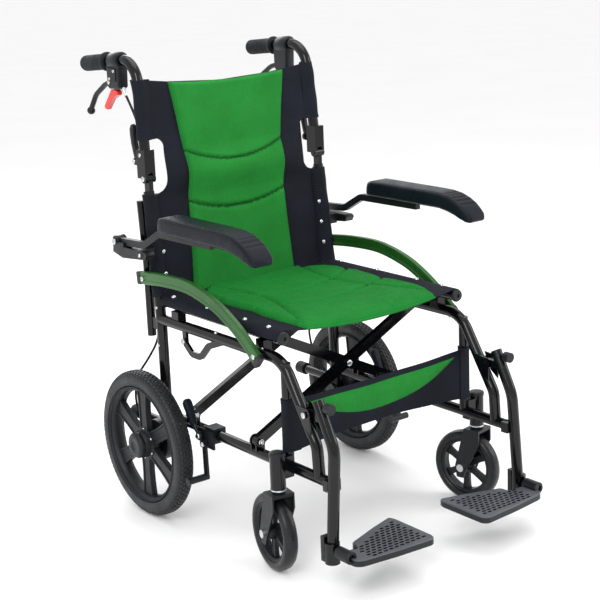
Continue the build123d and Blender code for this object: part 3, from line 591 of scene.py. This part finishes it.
def side_guard(side, k):
    """Arched aluminium side guard with a channel down its faces and end caps."""
    arch = [(36, 489.5), (-45, 497.5), (-126, 499.5), (-181, 491.8), (-233, 477.6), (-276, 458),
            (-318, 432.6), (-362, 397)]
    path = curve_points([(GUARD_X, y, z) for y, z in arch], 7)
    guard = Piece()
    half = [(5.5, -11.2), (5.5, -5.5), (4.7, -4.7), (4.7, 4.7), (5.5, 5.5), (5.5, 11.2), (4.2, 12.5)]
    outline = [(4.2, -12.5)] + half + [(-a, b) for a, b in reversed(half)] + [(-4.2, -12.5)]
    sweep_guard(guard, path, outline, "guard")
    grown = [(a * 1.12, b * 1.06) for a, b in rounded_rect(5.6, 12.6, 2.0)]
    for ends in (path[:2], path[-2:]):
        ahead = (ends[1] - ends[0]).normalized() * (4.5 if ends[0] is path[-2] else -4.5)
        stretch = [ends[0] + ahead, ends[1]] if ends[0] is path[0] else [ends[0], ends[1] + ahead]
        sweep_guard(guard, stretch, grown, "moulded")
    guard.bolt((250.4, 20, 490), X_AXIS, 5.2)
    guard.bolt((250.4, -354, 405), X_AXIS, 5.2)
    guard.lathe([(0, 5), (7, 5)], (232, 20, 490), X_AXIS, "steel", 16)
    guard.lathe([(0, 5), (7, 5)], (234.5, -354, 406), X_AXIS, "steel", 16)
    guard.make(name("side_guard_channel", side), name("side", side), k, [name("side_guard", side)],
               "guard_green")


def handle_point(y):
    """Point on the handle tube's sloping axis."""
    return Vector((HANDLE_X, y, HANDLE_TOP_Z - 0.087 * (y - post_y(HANDLE_TOP_Z))))


def handle(side, k):
    """Ribbed grip, brake housing, latch and release paddle."""
    start, end = handle_point(160), handle_point(252)
    run = (end - start).normalized()
    ribs = [(0, 11.4), (0, 18.2), (1.2, 19.4), (5.4, 19.4), (6.8, 18.2), (8.5, 15.0)]
    for i in range(13):
        t = 10.5 + i * 5.9
        ribs += [(t, 15.2), (t + 1.0, 16.4), (t + 3.6, 16.4), (t + 4.6, 15.2)]
    ribs += [(88, 16.0), (90.6, 14.4), (92.2, 10.5), (92.4, 0.1)]
    grip = Piece().lathe(ribs, start, run, "rubber", 36)
    grip.make(name("push_grip_ribbed", side), name("back", side), k, [name("push_grip", side)],
              "grip_rubber", 50)
    housing = Piece()
    a = handle_point(104)
    housing.lathe([(0, 11.2), (0, 15.4), (2, 17), (19, 17.4), (36, 17), (40, 14.8), (40, 11.2)], a, run,
                  "moulded", 32, loop=True)
    housing.slab([(104, 915), (106, 866), (112, 862), (145, 862), (150, 868), (151, 914)], HANDLE_X - 12,
                 HANDLE_X + 12, "x", "moulded", 3.0)
    housing.slab([(112, 905), (114, 878), (140, 878), (142, 905)], HANDLE_X + 11, HANDLE_X + 14, "x",
                 "moulded", 1.2)
    for y, z in ((118, 899), (136, 883)):
        housing.bolt((HANDLE_X + 13.6, y, z), X_AXIS, 3.2)
    housing.bolt((HANDLE_X + 12, 142, 875), X_AXIS, 4.0)
    housing.lathe([(0, 4.5), (3, 5), (9, 5), (12, 3.2), (17, 2.7)], (212, 108.5, 864),
                  (-0.08, -0.55, -0.82), "steel", 20)
    housing.make(name("brake_housing_moulded", side), name("back", side), k, [name("brake_housing", side)],
                 "black_plastic", 40)
    latch = Piece()
    latch.slab([(122, 857), (128, 861), (147, 860.5), (156, 851), (178, 825), (176, 819), (168.5, 817.5),
                (145, 841), (122, 850)], HANDLE_X - 6.2, HANDLE_X + 6.2, "x", "red", 1.8)
    latch.make(name("brake_latch_red", side), name("brake_latch", side), k, [name("brake_latch", side)],
               "latch_red")
    x = post_x(HINGE_Z)
    rings = []
    for y, z, w, d in ((58.5, 716, 5.3, 7.0), (62, 726, 5.3, 6.2), (67, 742, 6.0, 5.4),
                       (70.5, 758, 6.4, 5.6), (72, 774, 6.6, 6.4), (72.2, 786, 6.4, 6.6),
                       (71.6, 793, 4.6, 4.8), (71.2, 795.5, 2.0, 2.2)):
        rings.append([(x + u, y + v, z) for u, v in rounded_rect(w, d, min(w, d) * 0.6)])
    paddle = Piece().loft(rings, "moulded")
    paddle.make(name("back_release_paddle", side), name("release", side), k, [name("back_release", side)],
                "black_plastic", 50)


CABLE_ROUTE = [(212.0, 107.0, 860.0), (209.0, 88.0, 832.0), (203.0, 72.0, 790.0), (200.0, 66.0, 735.0),
               (199.0, 58.0, 680.0), (199.0, 54.0, 625.0), (201.0, 46.0, 570.0), (202.0, 41.0, 515.0),
               (203.0, 38.0, 460.0), (205.0, 36.0, 405.0), (206.0, 44.0, 350.0), (215.0, 74.0, 304.0),
               (231.0, 102.0, 262.0), (241.0, 98.0, 212.0), (246.0, 66.0, 177.0), (246.0, 43.6, 166.0)]


def brake_cable(side, k):
    """Sheathed cable, a fixed curve running down past the backrest's fold."""
    data = bpy.data.curves.new(name("cable_line", side), "CURVE")
    data.dimensions = "3D"
    spline = data.splines.new("NURBS")
    spline.points.add(len(CABLE_ROUTE) - 1)
    for point, spot in zip(spline.points, CABLE_ROUTE):
        point.co = (*place(spot, k), 1.0)
    spline.order_u = 3
    spline.use_endpoint_u = True
    spline.resolution_u = 8
    data.bevel_depth = 0.0025
    data.bevel_resolution = 3
    data.use_fill_caps = True
    line = bpy.data.objects.new(name("cable_line", side), data)
    mesh = bpy.data.meshes.new_from_object(line)
    bpy.data.objects.remove(line)
    mesh.materials.clear()
    mesh.materials.append(M["rubber"])
    mesh.shade_smooth()
    obj = bpy.data.objects.new(name("brake_cable_sheath", side), mesh)
    bpy.context.scene.collection.objects.link(obj)
    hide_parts(name("brake_cable", side))
    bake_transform(obj)


# ---- footrest, parking brake --------------------------------------------------------------------
def eased(outline, radius):
    """Rounds an outline's corners."""
    out = []
    pts = [Vector(p) for p in outline]
    for i, p in enumerate(pts):
        before, after = pts[i - 1] - p, pts[(i + 1) % len(pts)] - p
        r = min(radius, before.length * 0.45, after.length * 0.45)
        a, b = p + before.normalized() * r, p + after.normalized() * r
        for s in range(5):
            t = s / 4
            out.append(tuple(a * (1 - t) ** 2 + p * 2 * t * (1 - t) + b * t * t))
    return out


def footplate(side, k):
    """Footplate with rows of staggered slots inside a smooth border."""
    plate = Piece()
    outline = [(192, -549), (120, -523), (66, -507), (61, -520), (61, -626), (70, -636.5), (150, -631),
               (226, -621.5), (236.5, -611), (236.5, -570.3), (192, -570.3)]
    plate.slab(eased(outline, 9), 70.0, 84.0, "z", "plate", 2.0)
    obj = plate.make(name("footplate_slotted", side), None, k, [], "plate_grey", 35)
    cuts = Piece()
    opening = rounded_rect(5.0, 2.5, 2.4, 3)
    inner, pitch, row_pitch, border = 78.0, 13.0, 8.8, 8
    for row in range(11):
        y = -618.0 + row * row_pitch
        start = inner + (row % 2) * pitch / 2
        outer = 206.0 - max(0.0, y + 575) * 2.6
        for i in range(int((outer - start) // pitch) + 1):
            x = start + i * pitch
            rear_edge = -513 - (x - 66) * 0.31
            if y <= rear_edge - border:
                # the cutter carries the slot colour, painted shade inside the slots
                cuts.loft([[(x + u, y + v, z) for u, v in opening] for z in (79.5, 86.0)], "slot")
    cutter = cuts.make(name("cutter", side), None, k)
    tool = obj.modifiers.new("slots", "BOOLEAN")
    tool.operation = "DIFFERENCE"
    tool.solver = "EXACT"
    tool.object = cutter
    bpy.context.view_layer.update()
    mesh = bpy.data.meshes.new_from_object(obj.evaluated_get(bpy.context.evaluated_depsgraph_get()))
    obj.modifiers.clear()
    obj.data = mesh
    bpy.data.objects.remove(cutter)
    mesh.set_sharp_from_angle(angle=math.radians(35))
    mesh.materials.append(M["moulded"])
    rim_z = 0.0825  # metres: below it the plate's sides are black plastic
    for face in mesh.polygons:
        if face.normal.z < 0.5 and face.center.z < rim_z:
            face.material_index = len(mesh.materials) - 1
    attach(obj, name("footplate", side))
    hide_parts(name("footplate", side))
    hinge = Piece()
    hinge.lathe([(0, 5.2), (0, 11), (1.2, 12), (35, 12), (36.2, 11), (36.2, 6.5), (30, 6.5), (30, 5.2)],
                (238, -569.7, 86), (0, -1, 0), "satin", 36, loop=True)
    hinge.make(name("footplate_barrel", side), name("footplate", side), k, slot="plate_grey")


def parking_brake(side, k):
    """Parking brake lever with its moulded grip."""
    x = 245.0
    pivot = (x, -150, 198)
    lever = Piece()
    lever.lathe([(-4, 4.1), (-4, 8.2), (-3, 9), (3, 9), (4, 8.2), (4, 4.1)], pivot, X_AXIS, "satin", 28,
                loop=True)
    lever.pipe(curve_points([(x, -145, 203), (x, -136, 213), (x, -130, 226)], 4), 4.2, "satin")
    rings = []
    for y, z, w, d in ((-133, 215, 4.6, 4.6), (-131.5, 219, 6.6, 6.0), (-128, 226, 7.4, 6.6),
                       (-121, 240, 8.4, 7.0), (-114.5, 252, 9.6, 7.6), (-111, 259, 9.2, 7.4),
                       (-109, 263, 6.6, 5.6), (-108.2, 264.6, 3, 2.6)):
        rings.append([(x + u, y + v * 0.87, z + v * -0.49) for u, v in rounded_rect(w, d, min(w, d) * 0.75)])
    lever.loft(rings, "pad")
    lever.bolt((x + 4, -150, 198), X_AXIS, 5.5)
    lever.make(name("parking_handle_moulded", side), name("parking_handle", side), k,
               [name("parking_handle", side)], "black_plastic", 50)


# ---- bolts --------------------------------------------------------------------------------------
def bolts(side, k):
    """Bolt heads and collars of one side's frame, hinge and seat rail."""
    frame_bolts = Piece()
    for y, z, x in ((-486, 322, 241.0), (-97, 380, 236.5), (-163, 184, 249.0)):
        frame_bolts.bolt((x, y, z), X_AXIS, 6.0)
    behind = CROSS_STEP if side == "left" else 0
    for y in CROSS_YS:
        for way in (-1, 1):
            frame_bolts.bolt((FRAME_X, y + behind + 12 * way, 225.5), (0, way, 0), 6.0)
    for y, z in ((-200, 415.5), (-352, 415.5)):
        frame_bolts.bolt((FRAME_X + 3, y, z), (0, 0, 1), 3.5)
    for z in (430, 350):
        frame_bolts.bolt((FRAME_X + 10.6, 0, z), X_AXIS, 3.4, height=2.2)
    frame_bolts.lathe([(0, 13.2), (0, 15), (8, 15), (8, 13.2)], (FRAME_X, 0, 136.5), (0, 0, 1), "moulded", 28,
                      loop=True)
    frame_bolts.make(name("frame_bolts", side), name("side", side), k, slot="steel")
    hinge = Piece()
    x, y = post_x(HINGE_Z), post_y(HINGE_Z) - 4
    hinge.bolt((x + 12.6, y, HINGE_Z), X_AXIS, 5.5)
    hinge.bolt((x + 12, y + 8, 737), X_AXIS, 4.2)
    hinge.bolt((x + 10, 60, 722), X_AXIS, 4.2)
    hinge.make(name("hinge_bolts", side), name("back", side), k, slot="steel")
    rail = Piece()
    for y in (-42, -162, -286, -361):
        rail.bolt((SEAT_RAIL_X, y, 457.2), (0, 0, 1), 4.6)
    rail.lathe([(0, 12.2), (1.5, 12.8), (5, 12.8), (8, 10.8), (8.6, 4.0), (6, 3.4), (6, 0.1)],
               (SEAT_RAIL_X, -399.5, SEAT_Z), (0, -1, 0), "moulded", 28)
    rail.lathe([(0, 12.2), (1.5, 12.8), (4, 12.8), (5, 11), (5, 0.1)], (SEAT_RAIL_X, -14.5, SEAT_Z),
               (0, 1, 0), "moulded", 28)
    rail.make(name("seat_rail_bolts", side), name("cross", side), k, slot="steel")


def pivot_bolts():
    """Bolts through the crossings of the scissor legs."""
    pivots = Piece()
    for y in CROSS_YS:
        pivots.bolt((0, y - 9.0, CROSS_PIVOT_Z), (0, -1, 0), 6.5)
        pivots.bolt((0, y + 22.0, CROSS_PIVOT_Z), (0, 1, 0), 6.5)
    pivots.make("cross_pivot_bolts", "cross_left", slot="steel")


# ---- backrest cloth -----------------------------------------------------------------------------
GREEN_HALF = [(455, 130), (560, 124), (630, 121.5), (700, 121.5), (734, 123.5), (800, 132), (880, 144.5)]
BACK_SEAMS = ((734.0, 27.0), (630.0, 24.0))


def back_sag(share):
    """How far the cloth bellies rearward between the posts."""
    return 9.0 * (1.0 - min(1.0, abs(share)) ** 2)


def back_fall(z, share):
    """How far the cloth's top edge dips between the posts."""
    return 15.0 * (1 - share * share) * max(0.0, (z - 790) / 90.0)


def hinge_share(z):
    """Distance from the hinge as a share of the stretch where the cloth is drawn forward."""
    return min(1.0, abs(z - HINGE_Z) / 55.0)


def back_depth(z, share):
    """Rearward place of the black cloth's front face, drawn forward of the fold axis at the hinge."""
    away = hinge_share(z)
    away = away * away * (3.0 - 2.0 * away)
    return back_y(z) + 0.6 + (6.4 + back_sag(share)) * away


def back_edge(z):
    """Half the black cloth's width, cut in beside the hinge."""
    low = max(0.0, min(1.0, (z - 657) / 26.0))
    high = max(0.0, min(1.0, (768 - z) / 20.0))
    return post_x(z) - 19.0 - 24.0 * math.sqrt(low * (2.0 - low) * high * (2.0 - high))


def back_cloth(part, low, high, body):
    """Black cloth and green padded panel of one half of the back."""
    cloth, pad = Piece(), Piece()
    steps, columns, count = 44, 24, 48
    rings, cushion = [], []
    for i in range(steps + 1):
        z = low + (high - low) * i / steps
        half = back_edge(z)
        ring = []
        for face in (0, 1):
            for j in range(columns + 1) if face == 0 else reversed(range(columns + 1)):
                share = -1 + 2 * j / columns
                x = half * share
                crease = 0.9 * math.sin(z * 0.055 + x * 0.03) * abs(share) ** 2 * hinge_share(z)
                ring.append((x, back_depth(z, share) + crease + 2.2 * face, z - back_fall(z, share)))
        rings.append(ring)
    cloth.loft(rings, "nylon")
    for i in range(steps * 2 + 1):
        z = low + (high - low) * i / (steps * 2)
        half = table(GREEN_HALF, z)
        ring = []
        for j in range(count + 1):
            share = -1 + 2 * j / count
            x = half * share
            fall = back_fall(z, x / 205.0)
            dip = sum(math.exp(-((z - (s - d * (1 - share * share))) / 4.2) ** 2) for s, d in BACK_SEAMS)
            edge = min(1.0, (1 - abs(share)) * half / 9.0)
            rim = min(1.0, max(0.0, (high - z)) / 7.0) if high > 800 else 1.0
            thick = 1.0 + 9.5 * crown(edge) * crown(rim)
            thick *= 1.0 - 0.62 * min(1.0, dip)
            ring.append((x, back_depth(z, x / 200.0) - thick, z - fall))
        for j in reversed(range(0, count + 1, 4)):
            share = -1 + 2 * j / count
            x = half * share
            fall = back_fall(z, x / 205.0)
            ring.append((x, back_depth(z, x / 200.0) + 0.6, z - fall))
        cushion.append(ring)
    pad.loft(cushion, "green_back")
    black = cloth.make(f"back_cloth_{part}", body, slot="black_nylon", angle=60)
    green = pad.make(f"back_pad_{part}", body, replaces=[f"back_sling_{part}"], slot="seat_cloth", angle=60)
    paint_seams(green, lambda x, y, z, w: any(
        abs(z - (s - d * (1 - (x / table(GREEN_HALF, z)) ** 2))) < 2.4 for s, d in BACK_SEAMS))
    for obj in (black, green):
        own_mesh(obj)


def paint_seams(obj, inside):
    """Gives the faces along a seam the seam's material."""
    obj.data.materials.append(M["seam"])
    index = len(obj.data.materials) - 1
    for face in obj.data.polygons:
        c = face.center
        if inside(c.x * 1000, c.y * 1000 - Y0, c.z * 1000, face.normal):
            face.material_index = index


def sleeve(side, k, part, low, high, body, spots):
    """Black cloth sleeve round a back post, narrowing to the cloth's edge."""
    piece = Piece()
    rings = []
    steps = 16
    for i in range(steps + 1):
        z = low + (high - low) * i / steps
        cx, cy = post_x(z), post_y(z) + max(0.0, z - 850) ** 2 * 0.003
        lip = 0.7 if i in (0, steps) else 0.0
        r = 13.4 + lip + 0.5 * math.sin(z * 0.11 + k)
        ring = [(cx + r * math.cos(a), cy + r * math.sin(a) * 1.04, z)
                for a in (math.radians(d) for d in range(-105, 121, 15))]
        inner = back_edge(z) - 3.0
        front = back_depth(z, inner / 200.0)
        ring += [(cx - 15, max(cy - 1, front + 4.4), z), (inner, front + 3.2, z), (inner, front - 1.2, z),
                 (cx - 14, min(cy - 9, front - 1.0), z)]
        rings.append(ring)
    piece.loft(rings, "nylon")
    for z in spots:
        x = post_x(z) - 15.5
        piece.bolt((x, min(post_y(z) - 9, back_y(z) + 6) + 0.4, z), (0, -1, 0), 4.6)
    obj = piece.make(f"back_sleeve_{part}_{side}", body, k, slot="black_nylon", angle=50)


# ---- seat ---------------------------------------------------------------------------------------
SEAT_HALF = [(-402, 160), (-392, 165), (-330, 174), (-270, 172), (-238, 165), (-205, 171), (-150, 174),
             (-122, 167), (-95, 169), (-66, 158), (-40, 128), (-16, 122)]
ARC_X = [(-402, 166), (-330, 138), (-261, 113), (-215, 101), (-170, 96), (-120, 100), (-75, 108),
         (-16, 121)]
RAIL_WRAP = 13.6  # radius of the cloth round a seat rail
FLAT_X = 205.0  # where the cloth leaves the rails


def seat_top(x, y):
    """Height of the black seat cloth."""
    share = min(1.0, abs(x) / FLAT_X)
    front = max(0.0, (-330.0 - y) / 72.0)
    return SEAT_Z + RAIL_WRAP - (8.0 + 10.0 * front ** 2) * (1 - share ** 2)


def seat_seam(x, y):
    """How deep the sewn seams pull the seat in, from 0 to 1."""
    share = min(1.0, abs(x) / 170.0)
    cross = [(-122.0 - 62.0 * (1 - share ** 1.6)), (-238.0 - 42.0 * (1 - share ** 1.6))]
    pull = sum(math.exp(-((y - s) / 5.0) ** 2) for s in cross)
    return min(1.0, pull + math.exp(-((abs(x) - table(ARC_X, y)) / 4.6) ** 2))


def seat():
    """Black cloth wrapped round both seat rails, and the green pad on it."""
    black = Piece()
    rings = []
    bands = 36
    for i in range(bands + 1):
        y = -402.0 + 392.0 * i / bands
        top = [(SEAT_RAIL_X + RAIL_WRAP * math.cos(a), SEAT_Z + RAIL_WRAP * math.sin(a))
               for a in (math.radians(d) for d in (-12, 15, 40, 65, 90))]
        top += [(x, seat_top(x, y)) for x in (FLAT_X, 190, 170, 140, 105, 70, 35, 0)]
        line = top + [(-x, z) for x, z in reversed(top[:-1])]
        under = []
        for x, z in reversed(line):
            dx, dz = (x - math.copysign(SEAT_RAIL_X, x), z - SEAT_Z) if abs(x) > FLAT_X else (0.0, 1.0)
            n = math.hypot(dx, dz)
            under.append((x - dx / n * 1.8, z - dz / n * 1.8))
        rings.append([(x, y, z) for x, z in line + under])
    black.loft(rings, "nylon")
    cloth = black.make("seat_cloth_black", None, slot="black_nylon", angle=60)
    pad = Piece()
    rings = []
    front, rear, bands, count = -404.0, -14.0, 104, 64
    for i in range(bands + 1):
        y = front + (rear - front) * i / bands
        half = table(SEAT_HALF, y)
        ring = []
        for j in range(count + 1):
            x = half * (-1 + 2 * j / count)
            edge = min(1.0, (half - abs(x)) / 12.0)
            rim = min(1.0, min(y - front, rear - y) / 12.0)
            thick = 0.8 + 11.0 * crown(edge) * crown(rim) * (1.0 - 0.6 * seat_seam(x, y))
            ring.append((x, y, seat_top(x, y) + thick))
        ring += [(x, y, seat_top(x, y) - 0.6) for x in (half * (1 - 2 * j / 12) for j in range(13))]
        rings.append(ring)
    pad.loft(rings, "green_seat")
    green = pad.make("seat_pad_green", None, slot="seat_cloth", angle=60)
    paint_seams(green, lambda x, y, z, w: w.z > 0.3 and seat_seam(x, y) > 0.93 and abs(x) < 150)
    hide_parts("seat_sling")
    for obj in (cloth, green):
        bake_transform(obj)


# ---- calf strap ---------------------------------------------------------------------------------
STRAP_HALF, LEAF_HALF = 212.0, 188.0


def strap_top(share):
    return 335.0 + 3.0 * share - 7.0 * (1 - share * share)


def strap_low(share):
    return 234.0 + 9.0 * (1 - share * share)


def strap_y(share):
    return -426.0 + 7.0 * (1 - share * share)


def strap_wave(share):
    """Shallow ripple along the strap."""
    return 1.2 * math.sin(share * 9)


def calf_strap():
    """Black strap behind the calves, its green leaf and a loop round each front tube."""
    strap, leaf = Piece(), Piece()
    rings = []
    for i in range(49):
        share = -1 + 2 * i / 48
        x = STRAP_HALF * share
        y = strap_y(share) + strap_wave(share)
        low, high = strap_low(share), strap_top(share)
        mid = (low + high) / 2
        rings.append([(x, y - 1.0, low), (x, y - 1.3, low + 3), (x, y - 0.9, mid), (x, y - 1.3, high - 3),
                      (x, y - 1.0, high), (x, y + 1.0, high), (x, y + 1.0, mid), (x, y + 1.0, low)])
    strap.loft(rings, "nylon")
    rings = []
    for i in range(49):
        share = -1 + 2 * i / 48
        x = LEAF_HALF * share
        at = x / STRAP_HALF
        top = strap_top(at) - 11.0
        belly = top - 49.0 * (1 - abs(share) ** 2.2) - 1.0
        y = strap_y(at) - 1.4 + strap_wave(at)
        bulge = 2.6 * math.sqrt(max(0.0, 1 - abs(share) ** 4))
        ring = [(x, y, top)]
        ring += [(x, y - bulge * math.sin(math.pi * v / 6), top + (belly - top) * v / 6) for v in range(1, 6)]
        ring += [(x, y, belly), (x, y + 0.6, (top + belly) / 2)]
        rings.append(ring)
    leaf.loft(rings, "green_back")
    black = strap.make("calf_strap_black", "side_right", replaces=["calf_strap"], slot="black_nylon",
                       angle=60)
    green = leaf.make("calf_strap_leaf", "side_right", slot="seat_cloth", angle=60)
    for obj in (black, green):
        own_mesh(obj)
    for side, k in SIDES:
        loop = Piece()
        share = float(k)
        low, high = strap_low(share) - 1.0, strap_top(share) + 1.0
        rings = []
        for i in range(9):
            z = low + (high - low) * i / 8
            r = 11.6 + (0.6 if i in (0, 8) else 0.0)
            ring = [(223 + r * math.cos(a), -415 + r * math.sin(a), z)
                    for a in (math.radians(d) for d in range(-90, 151, 20))]
            ring += [(209, -419.5, z), (203, -422.8, z), (203, -427.6, z), (212, -427.8, z)]
            rings.append(ring)
        loop.loft(rings, "nylon")
        obj = loop.make(f"calf_strap_loop_{side}", name("side", side), k, slot="black_nylon", angle=50)


# ---- CAD nodes that keep their shape -------------------------------------------------------------
FINISH = {"side_frame": "paint", "cross_member": "paint", "back_post": "paint", "hanger": "paint",
          "hanger_knob": "moulded", "arm_bar": "satin", "arm_bracket": "moulded", "caster_fork": "satin",
          "caster_axle": "steel", "brake_drum": "satin", "shoe_bar": "satin", "parking_clamp": "satin",
          "hand_brake_lever": "satin", "tip_cap": "rubber"}

for side, k in SIDES:
    for node, finish in FINISH.items():
        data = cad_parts[name(node, side)].data
        data.materials.clear()
        data.materials.append(M[finish])
    rear_wheel(side, k)
    caster(side, k)
    arm_pad(side, k)
    side_guard(side, k)
    handle(side, k)
    brake_cable(side, k)
    footplate(side, k)
    parking_brake(side, k)
    bolts(side, k)
    sleeve(side, k, "upper", 766, 884, name("back", side), ())
    sleeve(side, k, "lower", 452, 657, name("side", side), (585, 541, 496))
pivot_bolts()
back_cloth("lower", 438.0, HINGE_Z, "side_right")
back_cloth("upper", HINGE_Z, 882.0, "back_right")
seat()
calf_strap()

bpy.ops.mesh.primitive_plane_add(size=90, location=(0, 0, 0))
floor = bpy.context.object
floor.name = "floor"
shade = Nodes("floor_pale", 0.75, spec=0.2)
shade.colour(shade.mix(shade.ramp(shade.noise(2.0), 0.3, 0.7), (0.93, 0.93, 0.93), (0.95, 0.95, 0.95)))
floor.data.materials.append(shade.mat)
